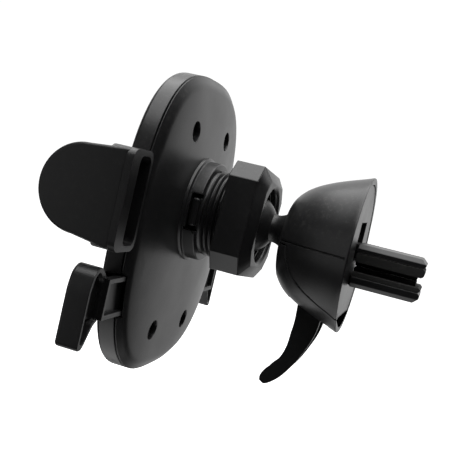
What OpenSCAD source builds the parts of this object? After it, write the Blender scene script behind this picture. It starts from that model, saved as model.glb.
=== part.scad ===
// Air-vent phone mount: a disc head with two geared side arms and two sliding feet, carried on a
// ball joint by a bell-shaped vent clip with a trigger lever.
// The frame's origin is the middle of the gap that grips the vent blade: +Y runs away from the
// phone towards the vent, +Z is up. Lengths are in mm.

/* [Head] */
// Width of the head across the arms
head_w = 66; // [60:1:80]
// Height of the head
head_h = 72; // [64:1:90]
// Squareness of the head's outline, 2 is an ellipse
head_square = 2.85; // [2:0.1:5]
// Drop of the head's middle below the ball's axis
head_drop = 4.5; // [0:0.5:10]
// Depth of the head's rim from front face to rear edge
rim_depth = 6.4; // [5:0.1:12]
// Depth of the rear shell's share of the rim
rear_share = 1.8; // [1:0.1:4]
// Rise of the rear face in the middle
crown = 1.6; // [0.5:0.1:4]
// Wall thickness of both shells
shell_wall = 1.6; // [1:0.1:3]
// Thickness of the phone pad
pad_t = 0.9; // [0.5:0.1:3]
// Distance between the upper screw recesses
upper_pitch = 26; // [16:1:40]
// Distance between the lower screw recesses
lower_pitch = 23; // [12:1:40]
// Height between upper and lower screw recesses
screw_rise = 47.6; // [30:0.1:60]
// Radius of a screw recess
recess_r = 2.4; // [1.5:0.1:3]

/* [Arms and feet] */
// Height of the arms' middle above the ball's axis
arm_z = 1.2; // [-5:0.1:8]
// How far an arm's root reaches above its middle
arm_rise = 10.1; // [6:0.1:14]
// How far an arm's root reaches below its middle
arm_fall = 11; // [6:0.1:14]
// Radius of the paddle's round end
paddle_r = 9.3; // [5:0.1:12]
// How far the paddle stands forward of the head's rear edge
paddle_reach = 19.2; // [14:0.1:30]
// Outer face of the arms from the middle, closed
arm_x = 44.4; // [40:0.1:60]
// Pitch radius of the pinion
pinion_r = 4; // [3:0.5:6]
// Teeth on the pinion, a multiple of four
pinion_teeth = 12; // [8:4:16]
// Height of the feet's channels below the ball's axis
foot_drop = 20.1; // [15:0.1:30]
// Half height of a foot's channel
channel_half = 4.4; // [3:0.1:6]
// Outer face of the foot loops from the middle, as drawn
foot_x = 46.2; // [42:0.1:60]
// Depth of a foot loop
foot_depth = 5.2; // [4:0.1:12]

/* [Ball joint] */
// Radius of the ball
ball_r = 7.5; // [6:0.1:10]
// Distance of the ball's centre behind the head's rear edge
ball_y = 14.3; // [10:0.1:20]
// Crest radius of the collar's thread
thread_r = 10.6; // [9:0.1:14]
// Distance between thread turns
thread_pitch = 1.2; // [0.8:0.1:2]
// Distance across the clamp nut's wide faces
nut_w = 26.1; // [24:0.1:34]
// Width of one of the nut's wide faces
nut_face = 17.9; // [10:0.1:20]
// Turn of the nut as it happens to be done up
nut_turn = 5.8; // [-45:0.1:45]

/* [Vent clip] */
// Outer radius of the bell's mouth
bell_r = 18.6; // [15:0.1:25]
// Drop of the bell's axis below the ball's axis
bell_drop = 1.5; // [0:0.1:5]
// Half width of the belly band under the bell
belly_half = 12; // [8:0.5:14]
// Gap between the jaws, closed
grip_gap = 2.2; // [1:0.1:5]
// Width of the jaws
jaw_w = 12; // [8:0.5:16]
// Length of the jaws behind the end plate
jaw_len = 16; // [10:0.5:24]
// Width of the lever
lever_w = 9; // [6:0.5:14]

/* [Hidden] */
$fn = 64;
grip_y = 50.5;
grip_drop = 3.6;
rear_y = -rear_share;
front_y = -rim_depth;
floor_y = front_y + shell_wall;
roof_y = -0.6;
half_w = head_w / 2;
half_h = head_h / 2;
edge_in = 2.2;
crown_in = [edge_in, 6, 12, 22];
crown_rise = [0.02, 0.4, 0.8, 1];
upper_z = -head_drop - 1.3 + screw_rise / 2;
lower_z = upper_z - screw_rise;
screw_spots = [[upper_pitch / 2, upper_z], [-upper_pitch / 2, upper_z],
  [lower_pitch / 2, lower_z], [-lower_pitch / 2, lower_z]];
root_x = half_w + 0.4;
rack_pitch = 2 * PI * pinion_r / pinion_teeth;
lip = 0.3;
rack_lo = -4.6;
rack_hi = -2.9;
foot_hi = -2.1;
foot_lo = foot_hi - foot_depth;
channel_lo = -2.7;
channel_hi = -0.9;
boss_r = 12.2;
boss_end = 5.4;
core_r = thread_r - 0.7;
liner_in = ball_r + 0.15;
liner_out = liner_in + 0.75;
cup_r = liner_out + 0.15;
nut_back = 10.6;
nut_step = 17.6;
nut_end = 19.6;
mouth_y = 42.2;
plate_t = 1.6;
nose_y = 24.6;
pin_y = 34;
pin_z = -10.5;
pin_r = 1;
jaw_root = mouth_y;
rib_rise = grip_gap / 2 - 0.15;
black = [0.05, 0.05, 0.055];
soft = [0.09, 0.09, 0.09];
steel = [0.62, 0.63, 0.65];

// Puts a part drawn about the ball's axis and the head's rear edge into the frame.
module placed() {
  translate([0, -grip_y, grip_drop]) children();
}

// Extrudes a shape drawn in X and Z from y0 to y1.
module slab(y0, y1) {
  translate([0, y1, 0]) rotate([90, 0, 0]) linear_extrude(y1 - y0) children();
}

// Extrudes a shape drawn in Y and Z from x0 to x1.
module side_slab(x0, x1) {
  translate([x0, 0, 0]) rotate([90, 0, 90]) linear_extrude(x1 - x0) children();
}

module rod(r, y0, y1) {
  translate([0, y1, 0]) rotate([90, 0, 0]) cylinder(r = r, h = y1 - y0);
}

module block(x0, x1, y0, y1, z0, z1) {
  translate([x0, y0, z0]) cube([x1 - x0, y1 - y0, z1 - z0]);
}

function lobe(t) = sign(t) * pow(abs(t), 2 / head_square);

// Outline of the head, inset by a margin.
module outline(inset) {
  translate([0, -head_drop])
    polygon([for (a = [0:4:356]) [(half_w - inset) * lobe(cos(a)), (half_h - inset) * lobe(sin(a))]]);
}

module foot_slots() {
  for (s = [-1, 1]) scale([s, 1, 1])
    block(20, half_w + 5, channel_lo - 0.2, channel_hi + 0.2,
      -foot_drop - channel_half - 0.3, -foot_drop + channel_half + 0.3);
}

module arm_slots() {
  block(20, half_w + 5, rack_lo - 0.15, rack_hi + 0.2, arm_z + 4.2, arm_z + 9.5);
  block(-half_w - 5, -20, rack_lo - 0.15, rack_hi + 0.2, arm_z - 9.5, arm_z - 4.2);
}

module front_shell() placed() color(black) difference() {
  union() {
    difference() {
      union() {
        slab(front_y + 0.9, rear_y - 0.3) outline(0);
        slab(rear_y - 0.31, rear_y) outline(0.25);
        hull() {
          slab(front_y, front_y + 0.01) outline(1);
          slab(front_y + 0.9, front_y + 0.91) outline(0);
        }
      }
      slab(floor_y, 5) outline(shell_wall);
    }
    for (p = screw_spots) translate([p[0], 0, p[1]]) rod(2.6, floor_y - 0.1, rear_y);
    // post for the pinion
    translate([0, 0, arm_z]) rod(1.5, floor_y - 0.1, -1.6);
    // guide rails for the racks
    block(-18, 6, floor_y - 0.1, -3.2, arm_z + 9.8, arm_z + 11);
    block(-18, 18, floor_y - 0.1, -3.2, arm_z - 11, arm_z - 9.8);
    // post for the fixed end of the arm spring
    translate([-21, 0, 13.6]) rod(1.1, floor_y - 0.1, -1.9);
    // rest for the feet's channels
    for (s = [-1, 1]) scale([s, 1, 1])
      block(12, 30, floor_y - 0.1, channel_lo - 0.15, -foot_drop - 3, -foot_drop + 3);
  }
  for (p = screw_spots) translate([p[0], 0, p[1]]) rod(0.85, floor_y + 0.5, 0);
  arm_slots();
  foot_slots();
}

module rear_shell() placed() color(black) difference() {
  union() {
    difference() {
      union() {
        slab(rear_y, rear_y + 0.31) outline(0.25);
        hull() {
          slab(rear_y + 0.3, rear_y + 0.31) outline(0);
          slab(-0.01, 0) outline(edge_in - 0.1);
        }
      }
      slab(rear_y - 1, roof_y) outline(edge_in + 0.6);
    }
    slab(roof_y, -0.05) outline(edge_in);
    // gentle crown in three steps
    for (k = [0:2]) hull() {
      slab(-0.1, crown * crown_rise[k]) outline(crown_in[k]);
      slab(-0.1, crown * crown_rise[k + 1]) outline(crown_in[k + 1]);
    }
    for (p = screw_spots) translate([p[0], 0, p[1]]) rod(recess_r + 0.8, rear_y, roof_y + 0.1);
    // boss round the collar, with a thin raised lip at its foot
    rod(12.7, 0.2, 2.2);
    rod(boss_r + 0.1, 2.1, 2.5);
    rod(boss_r - 0.1, 2.4, boss_end);
  }
  // screw recesses with their through holes
  for (p = screw_spots) translate([p[0], 0, p[1]]) {
    rod(recess_r, -0.9, 4);
    rod(1.15, -3, 0);
  }
  // seat for the collar
  rod(10.3, 0.5, 8);
  for (a = [0, 120, 240]) rotate([0, a, 0]) translate([7, 0, 0]) rod(0.95, -2, 2);
  // side windows for the collar's lugs
  for (s = [-1, 1]) scale([s, 1, 1]) block(8, 14, 2.9, boss_end + 1, -4.6, 4.2);
  foot_slots();
}

module front_pad() placed() color(soft) difference() {
  slab(front_y - pad_t, front_y) outline(5);
  slab(front_y - pad_t - 1, front_y - pad_t + 0.4) difference() {
    outline(8);
    outline(9);
  }
}

module case_screw() {
  rod(0.8, -4.1, -0.9);
  difference() {
    rod(1.9, -0.9, -0.1);
    slab(-0.5, 1) {
      square([2.2, 0.5], center = true);
      square([0.5, 2.2], center = true);
    }
  }
}

module case_screws() placed() color(black)
  for (p = screw_spots) translate([p[0], 0, p[1]]) case_screw();

// Outline of an arm's root and paddle seen from the side, in Y and Z.
module paddle_outline(inset) {
  translate([-paddle_reach + paddle_r, arm_z - 0.2]) circle(r = paddle_r - inset);
  polygon([[-paddle_reach + paddle_r, arm_z - 0.2 - paddle_r + inset],
    [0 - inset, arm_z - arm_fall + inset], [0 - inset, arm_z + arm_rise - inset],
    [-paddle_reach + paddle_r, arm_z - 0.2 + paddle_r - inset]]);
}

// Rectangle with round corners between two corners, in X and Z.
module round_rect(x0, x1, z0, z1, r) {
  for (x = [x0 + r, x1 - r]) for (z = [z0 + r, z1 - r]) translate([x, z]) circle(r = r);
  translate([x0, z0 + r]) square([x1 - x0, z1 - z0 - 2 * r]);
  translate([x0 + r, z0]) square([x1 - x0 - 2 * r, z1 - z0]);
}

// Right arm: root box with a pocket open to the rear, and the paddle.
module arm_body() {
  z0 = arm_z - arm_fall;
  z1 = arm_z + arm_rise;
  difference() {
    union() {
      // box beside the rim, with a raised lip round its open end
      slab(-1.6, 0) round_rect(root_x, arm_x, z0, z1, 2.6);
      slab(-5.5, -1.5) round_rect(root_x, arm_x - lip, z0, z1, 2.6);
      // paddle plate
      side_slab(arm_x - 3.6, arm_x - lip) intersection() {
        paddle_outline(0);
        translate([-40, z0]) square([39, z1 - z0]);
      }
    }
    // pocket
    slab(-4, 1) round_rect(root_x + 1, root_x + 6.9, z0 + 1.2, z1 - 1.2, 1.9);
  }
}

module rack() {
  // flat bar above the pinion, its teeth pointing down
  block(-14, root_x + 1, rack_lo, rack_hi, arm_z + pinion_r + 0.85, arm_z + 9.3);
  slab(rack_lo, rack_hi) for (i = [-6:5]) translate([(i + 0.5) * rack_pitch, arm_z + pinion_r])
    polygon([[-0.65, 0.9], [-0.2, -0.55], [0.2, -0.55], [0.65, 0.9]]);
}

// Tab on the right arm's rack for the spring's moving end.
module spring_tab() {
  block(8, 10, rack_lo, rack_hi, arm_z + 9, 14.6);
}

module side_arm_right() placed() color(black) {
  arm_body();
  rack();
  spring_tab();
}

module side_arm_left() placed() color(black) {
  scale([-1, 1, 1]) arm_body();
  translate([0, 0, 2 * arm_z]) rotate([0, 180, 0]) rack();
}

// Soft block on the paddle's inner face.
module arm_pad() {
  difference() {
    side_slab(root_x + 2.6, arm_x - 3.6) intersection() {
      paddle_outline(1.6);
      translate([-60, arm_z - 20]) square([60 - rim_depth - pad_t - 0.6, 40]);
    }
    for (i = [0:3]) block(root_x, root_x + 3.1, -16.4 + i * 2.3, -15.7 + i * 2.3, -20, 20);
  }
}

module arm_pad_right() placed() color(soft) arm_pad();

module arm_pad_left() placed() color(soft) scale([-1, 1, 1]) arm_pad();

module arm_pinion() placed() color(soft) translate([0, 0, arm_z]) difference() {
  union() {
    rod(pinion_r - 0.85, rack_lo, rack_hi);
    slab(rack_lo, rack_hi) for (i = [0:pinion_teeth - 1]) rotate(i * 360 / pinion_teeth)
      polygon([[-0.68, pinion_r - 1.1], [-0.45, pinion_r], [-0.2, pinion_r + 0.5],
        [0.2, pinion_r + 0.5], [0.45, pinion_r], [0.68, pinion_r - 1.1]]);
  }
  rod(1.55, -8, 0);
}

// Coil drawn as a row of rings.
module coil(n, step, r, wire) {
  for (i = [0:n - 1]) translate([i * step, 0, 0]) rotate([0, 90, 0])
    rotate_extrude() translate([r, 0]) circle(r = wire);
}

module arm_spring() placed() color(steel) translate([-19.4, -3.75, 13.4]) coil(24, 1.15, 0.75, 0.25);

// Closed wall of a foot seen from the rear, shrunk by a margin.
module loop_shape(inset) {
  offset(r = 1.1) offset(delta = -1.1 - inset) polygon([[foot_x - 3.6, -13.0], [foot_x - 1, -14.6],
    [foot_x, -18], [foot_x, -30.4], [foot_x - 2.3, -30.4], [foot_x - 5.6, -25.6],
    [foot_x - 7.2, -24.9], [foot_x - 7.2, -15.4]]);
}

module foot_body() {
  slab(foot_lo, foot_hi) difference() {
    loop_shape(0);
    loop_shape(1.1);
  }
  // front web that closes the loop
  slab(foot_lo, foot_lo + 1.2) loop_shape(0.4);
  // channel: a plate with an upper and a lower rib
  x_in = 15;
  x_out = foot_x - 6.6;
  block(x_in, x_out, channel_lo, channel_lo + 0.8, -foot_drop - channel_half, -foot_drop + channel_half);
  for (z = [-foot_drop - channel_half, -foot_drop + channel_half - 1.1])
    block(x_in, x_out, channel_lo, channel_hi, z, z + 1.1);
  // web across the loop at the channel's height
  block(foot_x - 7, foot_x - 0.6, foot_lo + 1.1, foot_lo + 4.2,
    -foot_drop - channel_half + 0.1, -foot_drop + channel_half - 0.1);
  // stiffening web between channel and loop
  block(foot_x - 7.2, foot_x - 6.1, foot_lo + 0.5, channel_hi,
    -foot_drop - channel_half, -foot_drop + channel_half);
}

module foot_right() placed() color(black) foot_body();

module foot_left() placed() color(black) scale([-1, 1, 1]) foot_body();

module socket_collar() placed() color(black) difference() {
  union() {
    rod(10.1, 0.6, boss_end);
    for (s = [-1, 1]) scale([s, 1, 1]) block(8, 11.4, 3.1, 5.1, -3.6, 3.4);
    rod(core_r, 0.6, 14.5);
    translate([0, 14.5, 0]) rotate([-90, 0, 0]) cylinder(r1 = core_r, r2 = core_r - 0.5, h = 2.3);
    // thread turns
    rotate([-90, 0, 0]) for (i = [0:5]) rotate_extrude() polygon([[core_r - 0.3, boss_end + 0.5 + i * thread_pitch],
      [thread_r, boss_end + 0.8 + i * thread_pitch], [thread_r, boss_end + 1.05 + i * thread_pitch],
      [core_r - 0.3, boss_end + 1.35 + i * thread_pitch]]);
  }
  translate([0, ball_y, 0]) sphere(r = cup_r);
  // slots that let the fingers close on the ball
  for (a = [45, 135]) rotate([0, a, 0]) block(-14, 14, 12.9, 20, -0.7, 0.7);
  for (a = [0, 120, 240]) rotate([0, a, 0]) translate([7, 0, 0]) rod(0.7, 0, 3.6);
}

module collar_screws() placed() color(steel)
  for (a = [0, 120, 240]) rotate([0, a, 0]) translate([7, 0, 0]) {
    rod(0.68, -0.7, 3.2);
    rod(1.5, -1.3, -0.6);
  }

// Friction liners: the cup takes the front of the ball, the ring its middle. The gap between them
// lets them tilt against each other.
module liner_zone(y0, y1, bore) {
  translate([0, ball_y, 0]) rotate([-90, 0, 0]) rotate_extrude() intersection() {
    difference() {
      circle(r = liner_out);
      circle(r = liner_in);
    }
    translate([bore, y0]) square([20, y1 - y0]);
  }
}

module liner_cup() placed() color(soft) liner_zone(-12, -4.2, 2);

module liner_ring() placed() color(soft) liner_zone(-1, 2.3, 0);

module nut_section() {
  rotate(nut_turn) polygon([[nut_w / 2, nut_face / 2], [nut_face / 2, nut_w / 2],
    [-nut_face / 2, nut_w / 2], [-nut_w / 2, nut_face / 2], [-nut_w / 2, -nut_face / 2],
    [-nut_face / 2, -nut_w / 2], [nut_face / 2, -nut_w / 2], [nut_w / 2, -nut_face / 2]]);
}

module clamp_nut() placed() color(black) difference() {
  intersection() {
    slab(nut_back, nut_end) nut_section();
    // turned bevel at the open end
    rotate([-90, 0, 0]) rotate_extrude() polygon([[0, nut_back - 1], [15.2, nut_back - 1], [15.9, nut_back + 0.9],
      [15.9, nut_step - 0.7], [14.2, nut_step], [11, nut_end + 0.05], [0, nut_end + 0.05]]);
  }
  rotate([-90, 0, 0]) rotate_extrude() polygon([[0, nut_back - 1], [thread_r + 0.25, nut_back - 1],
    [thread_r + 0.25, 14.6], [9.9, 17.2], [9, 17.2], [9, nut_end - 0.6], [9.7, nut_end + 0.1], [0, nut_end + 0.1]]);
}

module ball_stem() placed() color(black) difference() {
  union() {
    translate([0, ball_y, 0]) sphere(r = ball_r);
    rotate([-90, 0, 0]) rotate_extrude() polygon([[0, ball_y], [3.4, ball_y + 4], [3.35, 21],
      [3.5, 22.4], [3.9, 23.6], [4.6, 24.4], [4.6, nose_y + 1.9], [6.4, nose_y + 1.9],
      [6.4, nose_y + 4], [0, nose_y + 4]]);
  }
  rod(0.75, 22, 40);
}

module stem_screw() placed() color(steel) {
  rod(0.72, 23, nose_y + 4.7);
  rod(2.6, nose_y + 4.6, nose_y + 5.6);
}

// Profile of the bell about its own axis: radius against depth, inset by the wall.
module bell_profile(wall) {
  polygon([[0, nose_y + wall], [7.2 - wall, nose_y + wall], [8.8 - wall, nose_y + 0.3 + wall],
    [10.3 - wall, nose_y + 1.1 + wall * 0.8], [11.9 - wall, nose_y + 2.5 + wall * 0.6],
    [13.1 - wall, nose_y + 4 + wall * 0.5], [14.3 - wall, nose_y + 6 + wall * 0.4],
    [15.6 - wall, nose_y + 8.8], [16.8 - wall, nose_y + 12], [17.8 - wall, nose_y + 15],
    [bell_r - wall, mouth_y - 0.7], [bell_r - wall, mouth_y], [0, mouth_y]]);
}

module bell(wall) {
  translate([0, 0, -bell_drop]) rotate([-90, 0, 0]) rotate_extrude($fn = 96) bell_profile(wall);
}

// The wedge of the bell that the belly band fills, grown by a margin.
module belly_zone(grow) {
  block(-belly_half - grow, belly_half + grow, nose_y + 0.9 - grow, mouth_y + 2, -40, -bell_drop - 0.8 + grow);
}

module lever_slot(grow) {
  block(-lever_w / 2 - grow, lever_w / 2 + grow, 29.8 - grow, 39.4 + grow, -30, -bell_drop - 4);
}

module plate_disc(r, y0) {
  translate([0, 0, -bell_drop]) rod(r, y0, mouth_y + 1);
}

module clip_shell() placed() color(black) difference() {
  union() {
    difference() {
      bell(0);
      bell(1.6);
      // rear opening for the end plate
      plate_disc(bell_r - 1.55, mouth_y - plate_t);
      belly_zone(0.12);
    }
    // ring that holds the foot of the ball stem
    difference() {
      rod(8.4, nose_y + 1.5, nose_y + 4.1);
      belly_zone(0.12);
    }
    // floor behind the stem with the screw's seat
    rod(8.4, nose_y + 4, nose_y + 4.6);
    // cheeks that carry the lever pin, on webs that run into the bell's wall
    for (s = [-1, 1]) scale([s, 1, 1]) {
      block(5.2, 6.8, pin_y - 1.8, mouth_y - plate_t - 0.1, pin_z - 1.4, -bell_drop + 2);
      block(5.2, 15.7, pin_y + 1, mouth_y - plate_t - 0.1, -bell_drop + 0.5, -bell_drop + 2);
    }
  }
  // passage and seat of the ball stem
  rod(6.5, nose_y + 1.89, nose_y + 4.01);
  rod(4.7, nose_y - 2, nose_y + 2);
  rod(0.85, nose_y, nose_y + 8);
  // shallow groove along the mid-height seam
  for (s = [-1, 1]) translate([0, 0, -bell_drop]) difference() {
    block(s > 0 ? 4 : -30, s > 0 ? 30 : -4, nose_y + 1, mouth_y - 1, -0.15, 0.15);
    rotate([-90, 0, 0]) rotate_extrude() bell_profile(0.35);
  }
  translate([-7, pin_y, pin_z]) rotate([0, 90, 0]) cylinder(r = pin_r, h = 14);
}

module clip_belly() placed() color(black) difference() {
  intersection() {
    difference() {
      bell(0.15);
      bell(1.75);
    }
    belly_zone(-0.1);
  }
  plate_disc(bell_r - 1.55, mouth_y - plate_t);
  rod(8.7, nose_y - 1, nose_y + 5);
  lever_slot(0.5);
}

module end_plate() placed() color(black) difference() {
  translate([0, 0, -bell_drop]) rod(bell_r - 1.75, mouth_y - plate_t, mouth_y - 0.1);
  // travel slot of the upper jaw
  block(-5.8, 5.8, mouth_y - 4, mouth_y + 2, -2.6, 6.4);
}

// Side view of the lever: boss, pusher arm and the curved trigger, in Y and Z.
module lever_side(inset) {
  polygon([[31.9 + inset, -15.2], [32.1 + inset, -19.6], [31.9 + inset, -22.5], [31.7 + inset, -25.5],
    [30.9 + inset, -28.4], [29.4 + inset, -30.7], [27.9 + inset, -32.5], [27.1 + inset, -34.2],
    [27.2 + inset * 0.5, -35.4], [28.3, -36 + inset], [29.6, -35.4 + inset], [31.6 - inset * 0.5, -33.6],
    [33.2 - inset, -31.4], [34.6 - inset, -29.0], [35.7 - inset, -26.6], [36.9 - inset, -23.6],
    [37.7 - inset, -20.4], [38.2 - inset, -15.2]]);
}

module lever() placed() color(black) difference() {
  union() {
    // channel section: a thin web between two raised edges
    side_slab(-lever_w / 2 + 1, lever_w / 2 - 1) lever_side(0.9);
    for (s = [-1, 1]) scale([s, 1, 1]) side_slab(lever_w / 2 - 1.2, lever_w / 2) lever_side(0);
    side_slab(-lever_w / 2, lever_w / 2) {
      translate([pin_y, pin_z]) circle(r = 2.2);
      polygon([[pin_y - 2.1, pin_z], [pin_y + 2.1, pin_z], [38.2, -15.4], [31.9, -15.4]]);
    }
    // pusher arm under the jaw's foot
    side_slab(-2.5, 2.5) polygon([[pin_y + 0.5, pin_z + 2], [pin_y + 1.8, pin_z - 1], [39.6, -9.2],
      [39.6, -7.9], [38.2, -7.5]]);
  }
  translate([-20, pin_y, pin_z]) rotate([0, 90, 0]) cylinder(r = pin_r + 0.06, h = 40);
}

module lever_pin() placed() color(steel)
  translate([-6.7, pin_y, pin_z]) rotate([0, 90, 0]) cylinder(r = pin_r, h = 13.4);

module lever_spring() placed() color(steel) translate([0, 38.7, 1.85]) rotate([0, -90, 0])
  coil(10, 1.3, 1.5, 0.3);

// One jaw's section from the side, with bevelled ends: from z0 to z1, bevel on the outer edge.
module jaw_side(z0, z1, outer) {
  y1 = jaw_root + jaw_len;
  lo = outer < 0 ? 1.2 : 0.5;
  hi = outer > 0 ? 1.2 : 0.5;
  polygon([[jaw_root + 0.3, z0], [y1 - lo, z0], [y1, z0 + lo], [y1, z1 - hi], [y1 - hi, z1], [jaw_root + 0.3, z1]]);
}

module jaw_solid(z0, z1, outer) {
  intersection() {
    side_slab(-jaw_w / 2, jaw_w / 2) jaw_side(z0, z1, outer);
    slab(0, 80) polygon([[-jaw_w / 2, z0 + (outer < 0 ? 1 : 0)], [-jaw_w / 2 + (outer < 0 ? 1 : 0), z0],
      [jaw_w / 2 - (outer < 0 ? 1 : 0), z0], [jaw_w / 2, z0 + (outer < 0 ? 1 : 0)],
      [jaw_w / 2, z1 - (outer > 0 ? 1 : 0)], [jaw_w / 2 - (outer > 0 ? 1 : 0), z1],
      [-jaw_w / 2 + (outer > 0 ? 1 : 0), z1], [-jaw_w / 2, z1 - (outer > 0 ? 1 : 0)]]);
  }
}

upper_z0 = -grip_drop + grip_gap / 2;
lower_z1 = -grip_drop - grip_gap / 2;

module jaw_upper() placed() color(black) {
  jaw_solid(upper_z0 + 2.2, upper_z0 + 4.2, 1);
  // stem through the plate's slot, and the foot inside that the lever lifts
  block(-3.9, 3.9, 37.6, jaw_root + 0.5, upper_z0 + 2.2, upper_z0 + 4.0);
  block(-3.9, 3.9, 37.6, 40.2, -7.4, upper_z0 + 2.3);
}

// Raised middle of a jaw pad, which meets the other one's.
module pad_rib(z0, z1) {
  block(-3.4, 3.4, jaw_root + 0.3, jaw_root + jaw_len - 1.4, z0, z1);
}

module jaw_pad_upper() placed() color(soft) {
  jaw_solid(upper_z0, upper_z0 + 2.1, 0);
  pad_rib(upper_z0 - rib_rise, upper_z0 + 0.2);
}

module jaw_pad_lower() placed() color(soft) {
  jaw_solid(lower_z1 - 1.2, lower_z1, 0);
  pad_rib(lower_z1 - 0.2, lower_z1 + rib_rise);
}

module jaw_lower() placed() color(black) {
  jaw_solid(lower_z1 - 3.7, lower_z1 - 1.2, -1);
  block(-5, 5, mouth_y - 0.1, jaw_root + 0.5, lower_z1 - 3.4, lower_z1 - 1.2);
}

front_shell();
rear_shell();
front_pad();
case_screws();
side_arm_right();
side_arm_left();
arm_pad_right();
arm_pad_left();
arm_pinion();
arm_spring();
foot_right();
foot_left();
socket_collar();
collar_screws();
liner_cup();
liner_ring();
clamp_nut();
ball_stem();
stem_screw();
clip_shell();
clip_belly();
end_plate();
lever();
lever_pin();
lever_spring();
jaw_upper();
jaw_lower();
jaw_pad_upper();
jaw_pad_lower();
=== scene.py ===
import math

import bpy
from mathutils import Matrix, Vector


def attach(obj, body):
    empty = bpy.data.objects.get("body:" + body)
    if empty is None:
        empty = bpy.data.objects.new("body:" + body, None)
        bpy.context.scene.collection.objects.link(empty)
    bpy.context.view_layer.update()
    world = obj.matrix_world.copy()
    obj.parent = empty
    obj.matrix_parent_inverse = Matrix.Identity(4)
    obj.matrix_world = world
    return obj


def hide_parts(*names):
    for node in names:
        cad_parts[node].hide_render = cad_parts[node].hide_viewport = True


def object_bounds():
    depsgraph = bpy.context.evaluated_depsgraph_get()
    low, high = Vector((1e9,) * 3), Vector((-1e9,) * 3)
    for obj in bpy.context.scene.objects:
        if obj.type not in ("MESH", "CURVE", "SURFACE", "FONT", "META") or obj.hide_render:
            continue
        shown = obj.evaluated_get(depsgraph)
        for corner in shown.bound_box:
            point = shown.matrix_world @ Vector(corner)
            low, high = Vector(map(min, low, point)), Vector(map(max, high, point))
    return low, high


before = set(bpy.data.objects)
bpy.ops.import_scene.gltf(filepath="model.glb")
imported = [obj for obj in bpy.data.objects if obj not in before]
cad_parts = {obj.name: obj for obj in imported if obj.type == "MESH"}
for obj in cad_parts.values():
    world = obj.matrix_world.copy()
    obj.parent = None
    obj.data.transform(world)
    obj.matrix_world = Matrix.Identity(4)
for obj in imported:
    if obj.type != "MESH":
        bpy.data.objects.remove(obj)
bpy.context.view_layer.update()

# Lengths in the shapes below are in mm about the ball's axis and the head's rear edge.
GRIP_BEHIND_HEAD = 50.5
BALL_ABOVE_GRIP = 3.6
MM = 0.001


def at(x, y, z):
    """A point drawn about the ball's axis, in the frame's metres."""
    return Vector((x, y - GRIP_BEHIND_HEAD, z + BALL_ABOVE_GRIP)) * MM


# ---------------------------------------------------------------- modelling helpers

def clear():
    if bpy.context.mode != "OBJECT":
        bpy.ops.object.mode_set(mode="OBJECT")
    bpy.ops.object.select_all(action="DESELECT")


def pick(piece):
    clear()
    piece.select_set(True)
    bpy.context.view_layer.objects.active = piece


def edit(piece, select="SELECT", kind="VERT"):
    pick(piece)
    bpy.ops.object.mode_set(mode="EDIT")
    bpy.ops.mesh.select_mode(type=kind)
    bpy.ops.mesh.select_all(action=select)


def done():
    bpy.ops.object.mode_set(mode="OBJECT")


def ring(name, points, fill="NOTHING"):
    """A loop of vertices through the given points."""
    clear()
    bpy.ops.mesh.primitive_circle_add(vertices=len(points), radius=1, fill_type=fill)
    piece = bpy.context.object
    piece.name = name
    for vertex, point in zip(piece.data.vertices, points):
        vertex.co = point
    return piece


def close_up(piece, merge=2e-6):
    edit(piece)
    bpy.ops.mesh.remove_doubles(threshold=merge)
    bpy.ops.mesh.dissolve_degenerate(threshold=1e-7)
    bpy.ops.mesh.normals_make_consistent(inside=False)
    done()
    return piece


def plate(name, points, travel):
    """A flat outline given its thickness."""
    piece = ring(name, points, "NGON")
    edit(piece)
    bpy.ops.mesh.extrude_region_move(TRANSFORM_OT_translate={"value": travel})
    done()
    return close_up(piece)


def side_plate(name, outline, x0, x1):
    return plate(name, [at(x0, y, z) for y, z in outline], Vector((x1 - x0, 0, 0)) * MM)


def back_plate(name, outline, y0, y1):
    return plate(name, [at(x, y0, z) for x, z in outline], Vector((0, y1 - y0, 0)) * MM)


def turned(name, profile, steps=96, drop=0.0):
    """A closed profile of radius and depth, spun about the ball's axis or one below it."""
    piece = ring(name, [at(r, y, -drop) for r, y in profile])
    edit(piece)
    bpy.ops.mesh.spin(steps=steps, angle=math.tau, center=at(0, 0, -drop), axis=(0, 1, 0))
    done()
    return close_up(piece)


def box(name, x0, x1, y0, y1, z0, z1):
    clear()
    bpy.ops.mesh.primitive_cube_add(size=1)
    piece = bpy.context.object
    piece.name = name
    low, high = at(x0, y0, z0), at(x1, y1, z1)
    for vertex in piece.data.vertices:
        vertex.co = Vector([low[k] if vertex.co[k] < 0 else high[k] for k in range(3)])
    return piece


def circle(across, up, radius, steps):
    """Points round a centre in any two axes."""
    return [(across + radius * math.cos(a), up + radius * math.sin(a))
            for a in [math.tau * k / steps for k in range(steps)]]


def drill(name, radius, y0, y1, x=0.0, z=0.0, steps=48):
    """A round bar along Y."""
    return back_plate(name, circle(x, z, radius, steps), y0, y1)


def apply(piece, kind, **settings):
    pick(piece)
    modifier = piece.modifiers.new(kind.title(), kind)
    for key, value in settings.items():
        setattr(modifier, key, value)
    bpy.ops.object.modifier_apply(modifier=modifier.name)
    return piece


def carve(piece, *tools, how="DIFFERENCE"):
    for tool in tools:
        apply(piece, "BOOLEAN", operation=how, solver="EXACT", object=tool)
        bpy.data.objects.remove(tool)
    return piece


def join(piece, *others):
    return carve(piece, *others, how="UNION")


def measured(piece):
    """Open edges, volume and the two corners of the box."""
    mesh = piece.data
    mesh.calc_loop_triangles()
    uses = {}
    for face in mesh.polygons:
        for key in face.edge_keys:
            uses[key] = uses.get(key, 0) + 1
    points = [vertex.co for vertex in mesh.vertices]
    volume = sum(points[a].dot(points[b].cross(points[c])) for a, b, c in
                 (triangle.vertices for triangle in mesh.loop_triangles)) / 6
    low = [min(point[k] for point in points) for k in range(3)]
    high = [max(point[k] for point in points) for k in range(3)]
    return sum(count != 2 for count in uses.values()), volume, low, high


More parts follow.
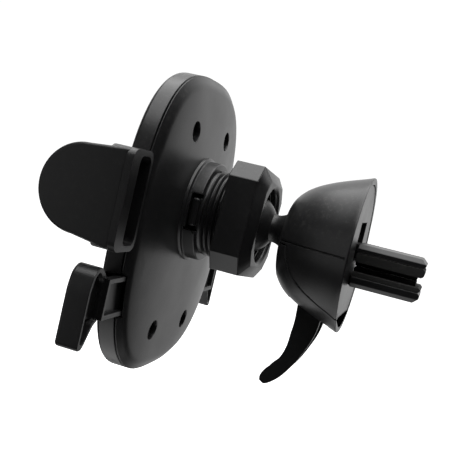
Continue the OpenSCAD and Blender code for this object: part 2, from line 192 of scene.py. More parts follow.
def soften(piece, width, angle=30, segments=2, smooth=35):
    """Small rounds along the sharp edges, made smaller where they would overrun, and smooth shading."""
    plain = piece.data.copy()
    gaps, volume, low, high = measured(piece)
    edit(piece)
    bpy.ops.mesh.remove_doubles(threshold=4e-6)
    bpy.ops.mesh.dissolve_limited(angle_limit=math.radians(0.5))
    done()
    if measured(piece)[0] <= gaps:
        plain = piece.data.copy()
    else:
        piece.data = plain.copy()
    for share in (1, 0.7, 0.5, 0.3, 0.15):
        apply(piece, "BEVEL", width=width * share * MM, segments=segments, limit_method="ANGLE",
              angle_limit=math.radians(angle), use_clamp_overlap=False, harden_normals=False)
        new_gaps, new_volume, new_low, new_high = measured(piece)
        grown = max(max(low[k] - new_low[k], new_high[k] - high[k]) for k in range(3))
        if new_gaps <= gaps and grown < 0.01 * MM and abs(new_volume / volume - 1) < 0.04:
            break
        piece.data = plain.copy()
    pick(piece)
    bpy.ops.object.shade_smooth_by_angle(angle=math.radians(smooth))
    return apply(piece, "WEIGHTED_NORMAL", keep_sharp=True, weight=80)


def flipped(piece, name):
    """The same piece for the other side."""
    pick(piece)
    bpy.ops.object.duplicate()
    other = bpy.context.object
    other.name = name
    edit(other)
    bpy.ops.transform.resize(value=(-1, 1, 1), center_override=(0, 0, 0))
    bpy.ops.mesh.normals_make_consistent(inside=False)
    done()
    return other


def curve_through(points, parts=4):
    """More points on a smooth line through the given ones."""
    made = []
    for k in range(len(points) - 1):
        before = Vector(points[max(k - 1, 0)])
        start, end = Vector(points[k]), Vector(points[k + 1])
        after = Vector(points[min(k + 2, len(points) - 1)])
        for step in range(parts):
            t = step / parts
            made.append(tuple(0.5 * (2 * start + (end - before) * t
                              + (2 * before - 5 * start + 4 * end - after) * t * t
                              + (3 * start - before - 3 * end + after) * t ** 3)))
    return made + [tuple(points[-1])]


def rounded(outline, radius, parts=5):
    """The outline with each corner rounded."""
    made = []
    for k, corner in enumerate(outline):
        corner = Vector(corner)
        before, after = Vector(outline[k - 1]), Vector(outline[(k + 1) % len(outline)])
        a, b = (before - corner), (after - corner)
        r = min(radius, a.length * 0.45, b.length * 0.45)
        p, q = corner + a.normalized() * r, corner + b.normalized() * r
        for step in range(parts + 1):
            t = step / parts
            made.append(tuple((1 - t) ** 2 * p + 2 * t * (1 - t) * corner + t * t * q))
    return made


# ---------------------------------------------------------------- shared finishes

def new_group(name, inputs, outputs):
    group = bpy.data.node_groups.new(name, "ShaderNodeTree")
    for label, kind, value in inputs:
        socket = group.interface.new_socket(label, in_out="INPUT", socket_type=kind)
        if value is not None:
            socket.default_value = value
    for label, kind in outputs:
        group.interface.new_socket(label, in_out="OUTPUT", socket_type=kind)
    return group, group.nodes.new("NodeGroupInput"), group.nodes.new("NodeGroupOutput")


def add(tree, kind, **settings):
    node = tree.nodes.new("ShaderNode" + kind)
    for key, value in settings.items():
        setattr(node, key, value)
    return node


def math_node(tree, operation, a, b=None, clamp=False):
    node = add(tree, "Math", operation=operation, use_clamp=clamp)
    for socket, value in zip(node.inputs, (a, b)):
        if value is None:
            continue
        if isinstance(value, (int, float)):
            socket.default_value = value
        else:
            tree.links.new(value, socket)
    return node.outputs[0]


def spark_grain():
    """Fine eroded-mould texture: a height, and a mask of finer and coarser patches."""
    group, given, out = new_group(
        "spark_grain",
        [("Vector", "NodeSocketVector", None), ("Grain size mm", "NodeSocketFloat", 0.25)],
        [("Height", "NodeSocketFloat"), ("Patches", "NodeSocketFloat")])
    scale = math_node(group, "DIVIDE", 1000.0, given.outputs["Grain size mm"])
    fine = add(group, "TexNoise")
    fine.inputs["Detail"].default_value = 3
    fine.inputs["Roughness"].default_value = 0.6
    group.links.new(given.outputs["Vector"], fine.inputs["Vector"])
    group.links.new(scale, fine.inputs["Scale"])
    pits = add(group, "TexVoronoi", feature="SMOOTH_F1")
    group.links.new(given.outputs["Vector"], pits.inputs["Vector"])
    group.links.new(math_node(group, "MULTIPLY", scale, 0.6), pits.inputs["Scale"])
    patches = add(group, "TexNoise")
    patches.inputs["Scale"].default_value = 110
    patches.inputs["Detail"].default_value = 4
    group.links.new(given.outputs["Vector"], patches.inputs["Vector"])
    height = math_node(group, "ADD", math_node(group, "MULTIPLY", fine.outputs["Fac"], 0.7),
                       math_node(group, "MULTIPLY", pits.outputs["Distance"], 0.5))
    group.links.new(height, out.inputs["Height"])
    group.links.new(patches.outputs["Fac"], out.inputs["Patches"])
    return group


def edge_polish():
    """Where edges and corners have been rubbed: a broken mask along them."""
    group, given, out = new_group(
        "edge_polish",
        [("Vector", "NodeSocketVector", None), ("Width mm", "NodeSocketFloat", 0.25)],
        [("Mask", "NodeSocketFloat")])
    bevel = add(group, "Bevel", samples=6)
    group.links.new(math_node(group, "MULTIPLY", given.outputs["Width mm"], 0.001), bevel.inputs["Radius"])
    place = add(group, "NewGeometry")
    turn = add(group, "VectorMath", operation="DOT_PRODUCT")
    group.links.new(bevel.outputs["Normal"], turn.inputs[0])
    group.links.new(place.outputs["Normal"], turn.inputs[1])
    bend = math_node(group, "SUBTRACT", 1.0, turn.outputs["Value"])
    edge = math_node(group, "MULTIPLY", bend, 6.0, clamp=True)
    patches = add(group, "TexNoise")
    patches.inputs["Scale"].default_value = 420
    patches.inputs["Detail"].default_value = 3
    group.links.new(given.outputs["Vector"], patches.inputs["Vector"])
    broken = math_node(group, "MULTIPLY_ADD", patches.outputs["Fac"], 1.6, clamp=True)
    broken.node.inputs[2].default_value = -0.35
    group.links.new(math_node(group, "MULTIPLY", edge, broken), out.inputs["Mask"])
    return group


def settled_dust():
    """Thin dust on faces that look up, in small specks and soft patches."""
    group, given, out = new_group(
        "settled_dust", [("Vector", "NodeSocketVector", None)], [("Mask", "NodeSocketFloat")])
    place = add(group, "NewGeometry")
    parts = add(group, "SeparateXYZ")
    group.links.new(place.outputs["Normal"], parts.inputs[0])
    up = math_node(group, "MULTIPLY_ADD", parts.outputs["Z"], 0.7, clamp=True)
    up.node.inputs[2].default_value = 0.2
    specks = add(group, "TexNoise")
    specks.inputs["Scale"].default_value = 900
    specks.inputs["Detail"].default_value = 5
    specks.inputs["Roughness"].default_value = 0.7
    group.links.new(given.outputs["Vector"], specks.inputs["Vector"])
    spread = add(group, "MapRange")
    group.links.new(specks.outputs["Fac"], spread.inputs["Value"])
    spread.inputs["From Min"].default_value = 0.52
    spread.inputs["From Max"].default_value = 0.72
    group.links.new(math_node(group, "MULTIPLY", up, spread.outputs["Result"]), out.inputs["Mask"])
    return group


GRAIN, POLISH, DUST = spark_grain(), edge_polish(), settled_dust()


def place_group(tree, group, vector, **values):
    node = add(tree, "Group")
    node.node_tree = group
    tree.links.new(vector, node.inputs["Vector"])
    for key, value in values.items():
        node.inputs[key.replace("_", " ")].default_value = value
    return node


def tint(tree, base, colour, mask):
    mix = add(tree, "Mix", data_type="RGBA")
    mix.inputs[7].default_value = (*colour, 1)
    tree.links.new(mask, mix.inputs[0])
    if isinstance(base, tuple):
        mix.inputs[6].default_value = (*base, 1)
    else:
        tree.links.new(base, mix.inputs[6])
    return mix.outputs[2]


def finish_of(name, colour, worn, roughness, worn_roughness, grain=0.25, depth=0.02, dust=0.25,
              edge=0.25, metallic=0.0, specular=0.5, sheen=0.0):
    """A moulded or metal surface: eroded grain, rubbed edges, uneven gloss and a little dust."""
    material = bpy.data.materials.new(name)
    material.use_nodes = True
    tree = material.node_tree
    shader = tree.nodes["Principled BSDF"]
    place = add(tree, "TexCoord").outputs["Object"]
    texture = place_group(tree, GRAIN, place, Grain_size_mm=grain)
    rubbed = place_group(tree, POLISH, place, Width_mm=edge).outputs["Mask"]
    specks = math_node(tree, "MULTIPLY", place_group(tree, DUST, place).outputs["Mask"], dust)
    shade = tint(tree, colour, tuple(min(1, c * 1.35) for c in colour), texture.outputs["Patches"])
    shade = tint(tree, shade, worn, rubbed)
    shade = tint(tree, shade, (0.2, 0.195, 0.185), specks)
    tree.links.new(shade, shader.inputs["Base Color"])
    gloss = math_node(tree, "MULTIPLY_ADD", texture.outputs["Patches"], 0.12)
    gloss.node.inputs[2].default_value = roughness - 0.06
    drop = math_node(tree, "MULTIPLY_ADD", rubbed, worn_roughness - roughness)
    tree.links.new(gloss, drop.node.inputs[2])
    tree.links.new(math_node(tree, "ADD", drop, math_node(tree, "MULTIPLY", specks, 0.5), clamp=True),
                   shader.inputs["Roughness"])
    bump = add(tree, "Bump")
    bump.inputs["Strength"].default_value = 1.0
    bump.inputs["Distance"].default_value = depth * MM
    tree.links.new(texture.outputs["Height"], bump.inputs["Height"])
    tree.links.new(bump.outputs["Normal"], shader.inputs["Normal"])
    shader.inputs["Metallic"].default_value = metallic
    shader.inputs["Specular IOR Level"].default_value = specular
    shader.inputs["Sheen Weight"].default_value = sheen
    return material


FINISH = {
    "shell_black": finish_of("moulded_shell_black", (0.011, 0.011, 0.0115), (0.03, 0.03, 0.031), 0.33, 0.27,
                             grain=0.22, depth=0.007),
    "satin_black": finish_of("satin_moulding_black", (0.009, 0.009, 0.0095), (0.028, 0.028, 0.029), 0.36,
                             0.28,
                             grain=0.3, depth=0.006, dust=0.15),
    "soft_rubber": finish_of("soft_rubber_black", (0.013, 0.013, 0.0125), (0.022, 0.022, 0.021), 0.68, 0.6,
                             grain=0.18, depth=0.012, dust=0.35, specular=0.35, sheen=0.05),
    "acetal": finish_of("acetal_black", (0.012, 0.012, 0.012), (0.03, 0.03, 0.03), 0.3, 0.24,
                        grain=0.5, depth=0.004, dust=0.1),
    "spring_steel": finish_of("spring_steel", (0.42, 0.42, 0.43), (0.6, 0.6, 0.6), 0.3, 0.22,
                              grain=0.1, depth=0.004, dust=0.1, metallic=1.0),
    "black_steel": finish_of("blackened_steel", (0.045, 0.045, 0.05), (0.22, 0.22, 0.23), 0.36, 0.26,
                             grain=0.14, depth=0.005, dust=0.15, metallic=1.0),
}
CAD_FINISH = {
    "shell_black": ["front_shell", "rear_shell", "clip_shell", "clip_belly", "end_plate"],
    "satin_black": ["side_arm_right", "side_arm_left", "foot_right", "foot_left", "socket_collar",
                    "clamp_nut", "ball_stem", "lever", "jaw_upper", "jaw_lower"],
    "soft_rubber": ["front_pad", "arm_pad_right", "arm_pad_left", "jaw_pad_upper", "jaw_pad_lower"],
    "acetal": ["arm_pinion", "liner_cup", "liner_ring"],
    "spring_steel": ["arm_spring", "lever_spring", "lever_pin", "stem_screw"],
    "black_steel": ["case_screws", "collar_screws"],
}
for slot_name, nodes in CAD_FINISH.items():
    for node in nodes:
        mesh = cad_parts[node].data
        mesh.materials.clear()
        mesh.materials.append(FINISH[slot_name])
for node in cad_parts.values():
    pick(node)
    bpy.ops.object.shade_smooth_by_angle(angle=math.radians(28))


def fit(piece, slot_name, body, *nodes):
    """Gives a finished piece its finish and its body, and hides the nodes it stands for."""
    piece.data.materials.clear()
    piece.data.materials.append(FINISH[slot_name])
    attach(piece, body)
    if nodes:
        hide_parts(*nodes)
    return piece


def eased(node, name, width):
    """A flat-faced CAD node again, with its edges slightly rounded."""
    clear()
    piece = bpy.data.objects.new(name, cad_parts[node].data.copy())
    bpy.context.scene.collection.objects.link(piece)
    edit(piece)
    bpy.ops.mesh.remove_doubles(threshold=1e-6)
    bpy.ops.mesh.normals_make_consistent(inside=False)
    bpy.ops.mesh.dissolve_limited(angle_limit=math.radians(1))
    done()
    if "sharp_edge" in piece.data.attributes:
        piece.data.attributes.remove(piece.data.attributes["sharp_edge"])
    return soften(piece, width)


# ---------------------------------------------------------------- head

HALF_W, HALF_H, SQUARE, DROP = 33.0, 36.0, 2.85, 4.5
SCREWS = [(13, 18.0), (-13, 18.0), (11.5, -29.6), (-11.5, -29.6)]


def head_loft(name, rings):
    """The head's outline carried through rings of depth and inset, closed at both ends."""
    depth, inset = rings[0]
    points = []
    for k in range(128):
        a = math.tau * k / 128
        r = (abs(math.cos(a) / (HALF_W - inset)) ** SQUARE
             + abs(math.sin(a) / (HALF_H - inset)) ** SQUARE) ** (-1 / SQUARE)
        points.append(at(r * math.cos(a), depth, r * math.sin(a) - DROP))
    piece = ring(name, points)
    edit(piece)
    for next_depth, next_inset in rings[1:]:
        bpy.ops.mesh.extrude_region_move(
            TRANSFORM_OT_translate={"value": (0, (next_depth - depth) * MM, 0)})
        bpy.ops.transform.resize(
            value=((HALF_W - next_inset) / (HALF_W - inset), 1, (HALF_H - next_inset) / (HALF_H - inset)),
            center_override=at(0, next_depth, -DROP))
        depth, inset = next_depth, next_inset
    bpy.ops.mesh.select_all(action="SELECT")
    bpy.ops.mesh.fill_holes(sides=0)
    done()
    return close_up(piece)


def foot_slots(reach=5):
    return [box("slot", *sorted((s * 20, s * (HALF_W + reach))), -2.9, -0.7, -24.8, -15.4) for s in (-1, 1)]


def make_rear_shell():
    shell = head_loft("rear_cover", [
        (1.6, 26), (1.5, 20), (1.28, 14), (1.0, 10), (0.66, 6.4), (0.3, 3.9), (0.1, 2.75), (-0.02, 2.3),
        (-0.2, 1.85), (-0.55, 1.3), (-1.1, 0.55), (-1.36, 0.14), (-1.5, 0.02), (-1.6, 0.05), (-1.66, 0.2),
        (-1.7, 0.7), (-1.8, 1.6), (-1.2, 2.8), (-0.6, 3.0)])
    boss = turned("boss", [(9, 0.0), (12.75, 0.0), (12.75, 2.0), (12.6, 2.22), (12.2, 2.3), (12.1, 2.5),
                           (12.1, 5.1), (12.0, 5.32), (11.8, 5.4), (9, 5.4)])
    join(shell, boss)
    carve(shell, drill("seat", 10.3, 0.5, 8, steps=96))
    for x, z in SCREWS:
        carve(shell, drill("recess", 2.4, -0.85, 4, x, z))
    carve(shell, *[box("window", *sorted((s * 8, s * 14)), 2.9, 6.5, -4.6, 4.2) for s in (-1, 1)])
    carve(shell, *foot_slots())
    return soften(shell, 0.14, angle=40)


def make_front_shell():
    shell = head_loft("front_cover", [
        (-6.4, 1.3), (-6.37, 1.0), (-6.24, 0.6), (-6.0, 0.28), (-5.7, 0.07), (-5.35, 0.0), (-2.1, 0.0),
        (-1.96, 0.05), (-1.9, 0.2), (-1.86, 0.7), (-1.82, 0.9), (-1.82, 1.6), (-4.8, 1.6)])
    carve(shell, box("slot", 20, 38, -4.75, -2.7, 5.4, 10.7), box("slot", -38, -20, -4.75, -2.7, -8.3, -3.0))
    carve(shell, *foot_slots())
    return soften(shell, 0.12, angle=40)


def make_front_pad():
    pad = head_loft("phone_pad", [
        (-6.4, 5), (-7.1, 5), (-7.24, 5.1), (-7.3, 5.3), (-7.3, 7.9), (-7.22, 8.0), (-6.95, 8.1),
        (-6.95, 8.9),
        (-7.22, 9.0), (-7.3, 9.1)])
    return soften(pad, 0.05, angle=50)


def make_collar():
    threads = []
    for k in range(6):
        y = 5.9 + 1.2 * k
        threads += [(9.75, y), (10.5, y + 0.28), (10.6, y + 0.38), (10.6, y + 0.5), (10.5, y + 0.6),
                    (9.75, y + 0.88)]
    cup = [(8.55 * math.sin(a), 14.3 - 8.55 * math.cos(a))
           for a in [math.radians(107 - k * 107 / 14) for k in range(15)]]
    collar = turned("threaded_collar", [(0, 0.6), (9.9, 0.6), (10.1, 0.8), (10.1, 5.2), (9.9, 5.4)] + threads
                    + [(9.9, 14.5), (9.45, 16.6), (9.2, 16.8)] + cup)
    lugs = [box("lug", *sorted((s * 8, s * 11.5)), 3.15, 5.05, -3.5, 3.3) for s in (-1, 1)]
    for lug in lugs:
        apply(lug, "BEVEL", width=0.7 * MM, segments=4)
    join(collar, *lugs)
    carve(collar, *[drill("screw_hole", 0.7, 0, 3.6, 7 * math.cos(a), -7 * math.sin(a), 24)
                    for a in (0, math.radians(120), math.radians(240))])
    return soften(collar, 0.1, angle=45)


def make_nut():
    w, f, turn = 13.05, 8.95, math.radians(5.8)
    corners = [(w, f), (f, w), (-f, w), (-w, f), (-w, -f), (-f, -w), (f, -w), (w, -f)]
    corners = [(x * math.cos(turn) - z * math.sin(turn), x * math.sin(turn) + z * math.cos(turn))
               for x, z in corners]
    nut = ring("clamp_nut_body", [at(x, 17.6, z) for x, z in corners], "NGON")
    edit(nut)
    bpy.ops.mesh.extrude_region_move(TRANSFORM_OT_translate={"value": (0, 2.0 * MM, 0)})
    bpy.ops.transform.resize(value=(0.78, 1, 0.78), center_override=at(0, 19.6, 0))
    done()
    close_up(nut)
    join(nut, back_plate("nut_barrel", corners, 10.6, 17.6))
    carve(nut, turned("bore", [(0, 9.6), (10.85, 9.6), (10.85, 14.6), (9.9, 17.2), (9, 17.2), (9, 18.95),
                               (9.3, 19.3), (9.8, 19.7), (0, 19.7)]))
    return soften(nut, 0.22, angle=25, segments=3)


# ---------------------------------------------------------------- arms and feet

def rack_bar(flip):
    """The toothed bar behind an arm, drawn for the right arm and turned over for the left."""
    z0, pitch = 5.2, math.tau * 4 / 12
    bottom = [(-14.0, z0 + 0.85)]
    for k in range(-6, 6):
        x = (k + 0.5) * pitch
        bottom += [(x - 0.65, z0 + 0.85), (x - 0.2, z0 - 0.5), (x + 0.2, z0 - 0.5), (x + 0.65, z0 + 0.85)]
    outline = bottom + [(34.4, z0 + 0.85), (34.4, 10.5), (-14.0, 10.5)]
    if flip:
        outline = [(-x, 2.4 - z) for x, z in outline]
    bar = back_plate("rack", outline, -4.6, -2.9)
    if not flip:
        join(bar, box("spring_tab", 8, 10, -4.6, -2.9, 10.0, 14.6))
    return bar


def make_arm():
    low, high = -9.8, 11.3
    shape = [(33.4, low), (44.4, low), (44.4, high), (33.4, high)]
    arm = back_plate("side_arm", rounded(shape, 2.6, 8), -1.6, 0)
    join(arm, back_plate("arm_root", rounded([(min(x, 43.9), z) for x, z in shape], 2.6, 8), -5.5, -1.3))
    tip = [(-9.9 - 9.3 * math.sin(a), 1.0 + 9.3 * math.cos(a))
           for a in [math.pi * k / 40 for k in range(41)]]
    outline = [(-1.2, high - 0.2)] + tip + [(-1.2, low + 0.2)]
    paddle = side_plate("paddle", outline, 40.8, 44.1)
    apply(paddle, "BEVEL", width=0.7 * MM, segments=3, limit_method="ANGLE", angle_limit=math.radians(50))
    join(arm, paddle)
    carve(arm, back_plate("pocket", rounded([(34.4, low + 1.2), (40.3, low + 1.2),
                                             (40.3, high - 1.2), (34.4, high - 1.2)], 1.9, 8), -4, 1))
    return arm


def make_foot():
    loop = [(42.6, -13.0), (45.2, -14.6), (46.2, -18), (46.2, -30.4), (43.9, -30.4), (40.6, -25.6),
            (39.0, -24.9), (39.0, -15.4)]
    centre = (43.1, -21.6)
    inner = [(centre[0] + (x - centre[0]) * 0.7, centre[1] + (z - centre[1]) * 0.86) for x, z in loop]
    foot = back_plate("foot", rounded(loop, 1.4, 6), -7.3, -2.1)
    edit(foot, "DESELECT", "FACE")
    done()
    for face in foot.data.polygons:
        face.select = face.normal.y < -0.9
    pick(foot)
    bpy.ops.object.mode_set(mode="EDIT")
    bpy.ops.mesh.bevel(offset=0.9 * MM, segments=4, affect="EDGES", clamp_overlap=True)
    done()
    carve(foot, back_plate("hollow", rounded(inner, 1.0, 6), -6.1, -1))
    join(foot, box("cross_web", 38.6, 45.2, -6.2, -3.1, -24.4, -15.8))
    join(foot, box("sole", 15, 39.9, -2.7, -1.9, -24.5, -15.7))
    for z in (-24.5, -16.8):
        join(foot, box("rib", 15, 39.6, -2.7, -0.9, z, z + 1.1))
    join(foot, box("gusset", 39.0, 40.1, -6.8, -0.9, -24.5, -15.7))
    return soften(foot, 0.16, angle=40)


# ---------------------------------------------------------------- ball joint and vent clip

# The bell's axis lies this far below the ball's; the pin is given by its depth and height.
BELL_DROP = 1.5
LEVER_PIN = (34, -10.5)
BELL = [(0, 24.6), (5.0, 24.6), (7.2, 24.64), (8.8, 24.95), (10.3, 25.7), (11.9, 27.1), (13.1, 28.6),
        (14.3, 30.6), (15.6, 33.4), (16.8, 36.6), (17.8, 39.6), (18.5, 41.6)]


def bell_profile(inset, end=42.2):
    line = curve_through(BELL[2:], 3)
    made = [(0, 24.6 + inset), (7.2 - inset * 0.6, 24.6 + inset)]
    for k in range(1, len(line) - 1):
        ahead = Vector(line[k + 1]) - Vector(line[k - 1])
        normal = Vector((ahead.y, -ahead.x)).normalized()
        made.append((line[k][0] - normal.x * inset, line[k][1] - normal.y * inset))
    return made + [(18.6 - inset, 41.8), (18.6 - inset, end), (0, end)]


def recess():
    return turned("plate_recess", [(0, 40.6), (17.05, 40.6), (17.05, 43), (0, 43)], drop=BELL_DROP)


def make_bell():
    bell = turned("bell", bell_profile(0), steps=128, drop=BELL_DROP)
    carve(bell, turned("inside", bell_profile(1.6, 43), drop=BELL_DROP), recess())
    join(bell, turned("stem_ring", [(0, 26.2), (8.4, 26.2), (8.4, 29.2), (0, 29.2)]))
    carve(bell, turned("stem_seat", [(0, 23), (4.7, 23), (4.7, 26.5), (6.5, 26.5), (6.5, 28.6), (0, 28.6)]))
    carve(bell, box("belly_gap", -12.15, 12.15, 25.4, 45, -40, -2.15))
    groove = turned("mid_groove", bell_profile(-1.0, 43), drop=BELL_DROP)
    carve(groove, turned("core", bell_profile(0.3, 45), drop=BELL_DROP))
    for s in (-1, 1):
        strip = box("strip", *sorted((s * 5, s * 30)), 25.6, 41.4, -1.68, -1.36)
        carve(strip, copy_of(groove), how="INTERSECT")
        carve(bell, strip)
    bpy.data.objects.remove(groove)
    return soften(bell, 0.16, angle=40)


def copy_of(piece):
    pick(piece)
    bpy.ops.object.duplicate()
    return bpy.context.object


def make_belly():
    belly = turned("belly", bell_profile(0.02), steps=128, drop=BELL_DROP)
    carve(belly, turned("inside", bell_profile(1.7, 43), drop=BELL_DROP), recess())
    carve(belly, box("band", -11.85, 11.85, 25.6, 45, -40, -2.4), how="INTERSECT")
    carve(belly, drill("stem_room", 8.7, 22, 29.6, steps=64))
    carve(belly, box("lever_room", -5, 5, 29.3, 39.9, -30, -5.5))
    return soften(belly, 0.3, angle=40, segments=3)


def make_end_plate():
    profile = [(0, 40.6), (16.85, 40.6), (16.85, 42.05), (0, 42.05)]
    disc = turned("end_plate_disc", profile, steps=128, drop=BELL_DROP)
    carve(disc, box("travel_slot", -5.8, 5.8, 39, 44, -2.6, 6.4))
    return soften(disc, 0.18, angle=40)


def make_ball_stem():
    ball = [(7.5 * math.sin(a), 14.3 - 7.5 * math.cos(a))
            for a in [math.radians(k * 153 / 30) for k in range(31)]]
    neck = curve_through([(3.4, 21.0), (3.35, 21.8), (3.5, 22.6), (3.9, 23.5), (4.5, 24.3)], 3)
    stem = turned("stem", ball + neck + [(4.6, 24.5), (4.6, 26.5), (6.4, 26.5), (6.4, 28.6), (0, 28.6)])
    carve(stem, drill("pilot", 0.75, 22, 30, steps=24))
    return soften(stem, 0.15, angle=50)


def lever_outline(inset):
    front = curve_through([(31.9, -15.2), (32.1, -19.6), (31.9, -22.5), (31.7, -25.5), (30.9, -28.4),
                           (29.4, -30.7), (27.9, -32.5), (27.1, -34.2), (27.2, -35.4)], 4)
    rear = curve_through([(28.3, -36.0), (29.6, -35.4), (31.6, -33.6), (33.2, -31.4), (34.6, -29.0),
                          (35.7, -26.6), (36.9, -23.6), (37.7, -20.4), (38.2, -15.2)], 4)
    if inset:
        # the web stops short of the tip, where the two inset edges would cross
        return ([(y + inset, z) for y, z in front if z > -34.3]
                + [(y - inset, z) for y, z in rear if z > -34.8])
    return front + rear


def make_lever():
    lever = side_plate("trigger", lever_outline(0.9), -3.4, 3.4)
    for x0, x1 in ((-4.5, -3.3), (3.3, 4.5)):
        join(lever, side_plate("cheek", lever_outline(0), x0, x1))
    join(lever, side_plate("boss", circle(*LEVER_PIN, 2.2, 32), -4.5, 4.5))
    neck = [(31.9, -10.5), (36.1, -10.5), (38.1, -15.6), (31.95, -15.6)]
    join(lever, side_plate("neck", neck, -4.48, 4.48))
    join(lever, side_plate("pusher", [(34.5, -8.5), (35.8, -11.5), (39.6, -9.2), (39.6, -7.9), (38.2, -7.5)],
                           -2.5, 2.5))
    carve(lever, side_plate("bore", circle(*LEVER_PIN, 1.06, 24), -20, 20))
    return soften(lever, 0.28, angle=40, segments=3)


# ---------------------------------------------------------------- assembly

fit(make_rear_shell(), "shell_black", "head", "rear_shell")
fit(make_front_shell(), "shell_black", "head", "front_shell")
fit(make_front_pad(), "soft_rubber", "head", "front_pad")
fit(make_collar(), "satin_black", "head", "socket_collar")
fit(make_nut(), "satin_black", "nut", "clamp_nut")

right_arm = make_arm()
left_arm = flipped(right_arm, "side_arm_other")
join(right_arm, rack_bar(False))
join(left_arm, rack_bar(True))
fit(soften(right_arm, 0.2, angle=40), "satin_black", "right_arm", "side_arm_right")
fit(soften(left_arm, 0.2, angle=40), "satin_black", "left_arm", "side_arm_left")
fit(eased("arm_pad_right", "paddle_pad", 0.15), "soft_rubber", "right_arm", "arm_pad_right")
fit(eased("arm_pad_left", "paddle_pad_other", 0.15), "soft_rubber", "left_arm", "arm_pad_left")

right_foot = make_foot()
left_foot = flipped(right_foot, "foot_other")
fit(right_foot, "satin_black", "right_foot", "foot_right")
fit(left_foot, "satin_black", "left_foot", "foot_left")

fit(make_ball_stem(), "satin_black", "clip", "ball_stem")
fit(make_bell(), "shell_black", "clip", "clip_shell")
fit(make_belly(), "shell_black", "clip", "clip_belly")
fit(make_end_plate(), "shell_black", "clip", "end_plate")
fit(make_lever(), "satin_black", "trigger", "lever")
fit(eased("jaw_upper", "upper_jaw", 0.16), "satin_black", "moving_jaw", "jaw_upper")
fit(eased("jaw_lower", "lower_jaw", 0.16), "satin_black", "clip", "jaw_lower")
fit(eased("jaw_pad_upper", "upper_jaw_pad", 0.16), "soft_rubber", "moving_jaw", "jaw_pad_upper")
fit(eased("jaw_pad_lower", "lower_jaw_pad", 0.16), "soft_rubber", "clip", "jaw_pad_lower")


# ---------------------------------------------------------------- studio

# Brightness of the air as a light, away from and towards the bright side.
AIR_DIM, AIR_BRIGHT = 0.006, 1.0
# Where the camera stands: degrees round, up and rolled, and its distance in metres.
VIEW_TURN, VIEW_RISE, VIEW_ROLL, VIEW_DISTANCE = 104.32, 4.23, 13.28, 0.19791


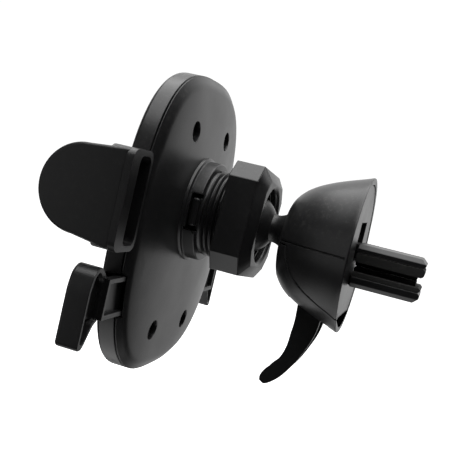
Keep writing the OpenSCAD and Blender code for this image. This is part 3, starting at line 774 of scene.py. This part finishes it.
def studio():
    scene = bpy.context.scene
    scene.view_settings.view_transform = "Standard"
    scene.view_settings.look = "None"

    azimuth, elevation, roll = math.radians(VIEW_TURN), math.radians(VIEW_RISE), math.radians(VIEW_ROLL)
    back = Vector((math.sin(azimuth) * math.cos(elevation), -math.cos(azimuth) * math.cos(elevation),
                   math.sin(elevation)))
    right = Vector((math.cos(azimuth), math.sin(azimuth), 0))
    up = back.cross(right)
    across = math.cos(roll) * right + math.sin(roll) * up
    upward = -math.sin(roll) * right + math.cos(roll) * up
    view = bpy.data.cameras.new("view")
    view.lens, view.sensor_width = 64.53, 36
    view.clip_start, view.clip_end = 0.01, 20
    camera = bpy.data.objects.new("view", view)
    scene.collection.objects.link(camera)
    scene.camera = camera
    spot = at(3.21, 11.60, -2.77) + VIEW_DISTANCE * back
    matrix = camera.matrix_world.copy()
    for k in range(3):
        matrix[k][0], matrix[k][1], matrix[k][2], matrix[k][3] = across[k], upward[k], back[k], spot[k]
    camera.matrix_world = matrix

    clear()
    bpy.ops.mesh.primitive_plane_add(size=8, location=(0, 0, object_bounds()[0].z - 0.05))
    floor = bpy.context.object
    floor.name = "pale_floor"
    paper = bpy.data.materials.new("pale_paper")
    paper.use_nodes = True
    shader = paper.node_tree.nodes["Principled BSDF"]
    shader.inputs["Base Color"].default_value = (0.9, 0.9, 0.9, 1)
    shader.inputs["Roughness"].default_value = 0.9
    shader.inputs["Emission Color"].default_value = (1, 1, 1, 1)
    shader.inputs["Emission Strength"].default_value = 0.95
    floor.data.materials.append(paper)
    floor.visible_glossy = floor.visible_diffuse = floor.visible_shadow = False

    # White to look at; as a light it is bright only on one side, with dim air elsewhere.
    world = bpy.data.worlds.new("studio_air")
    scene.world = world
    world.use_nodes = True
    tree = world.node_tree
    tree.nodes.clear()
    coords = add(tree, "TexCoord").outputs["Generated"]
    toward = add(tree, "VectorMath", operation="DOT_PRODUCT")
    toward.inputs[1].default_value = (-0.94, -0.2, 0.28)
    tree.links.new(coords, toward.inputs[0])
    shade = add(tree, "ValToRGB")
    shade.color_ramp.elements[0].position = 0.45
    shade.color_ramp.elements[0].color = (AIR_DIM, AIR_DIM, AIR_DIM, 1)
    shade.color_ramp.elements[1].position = 0.9
    shade.color_ramp.elements[1].color = (AIR_BRIGHT, AIR_BRIGHT, AIR_BRIGHT, 1)
    tree.links.new(toward.outputs["Value"], shade.inputs[0])
    lit = add(tree, "Background")
    tree.links.new(shade.outputs["Color"], lit.inputs["Color"])
    seen = add(tree, "Background")
    seen.inputs["Color"].default_value = (1, 1, 1, 1)
    seen.inputs["Strength"].default_value = 1.05
    mix = add(tree, "MixShader")
    tree.links.new(add(tree, "LightPath").outputs["Is Camera Ray"], mix.inputs[0])
    tree.links.new(lit.outputs[0], mix.inputs[1])
    tree.links.new(seen.outputs[0], mix.inputs[2])
    tree.links.new(mix.outputs[0], add(tree, "OutputWorld").inputs[0])

    def softbox(name, place, aim, width, height, radiance):
        lamp = bpy.data.lights.new(name, "AREA")
        lamp.shape, lamp.size, lamp.size_y = "RECTANGLE", width, height
        lamp.energy = radiance * math.pi * width * height
        lamp_object = bpy.data.objects.new(name, lamp)
        scene.collection.objects.link(lamp_object)
        lamp_object.location = place
        lamp_object.rotation_euler = (Vector(aim) - Vector(place)).to_track_quat("-Z", "Y").to_euler()
        lamp_object.visible_camera = False

    middle = (0, -0.03, 0)
    softbox("top_softbox", (0.02, -0.03, 0.38), middle, 0.5, 0.6, 3.2)
    softbox("under_bounce", (0.0, -0.03, -0.35), middle, 0.5, 0.5, 1.0)
    softbox("left_fill", (0.42, -0.42, 0.02), middle, 0.35, 0.5, 0.5)
    softbox("small_window", (0.33, 0.2, 0.16), middle, 0.05, 0.1, 1.2)


studio()
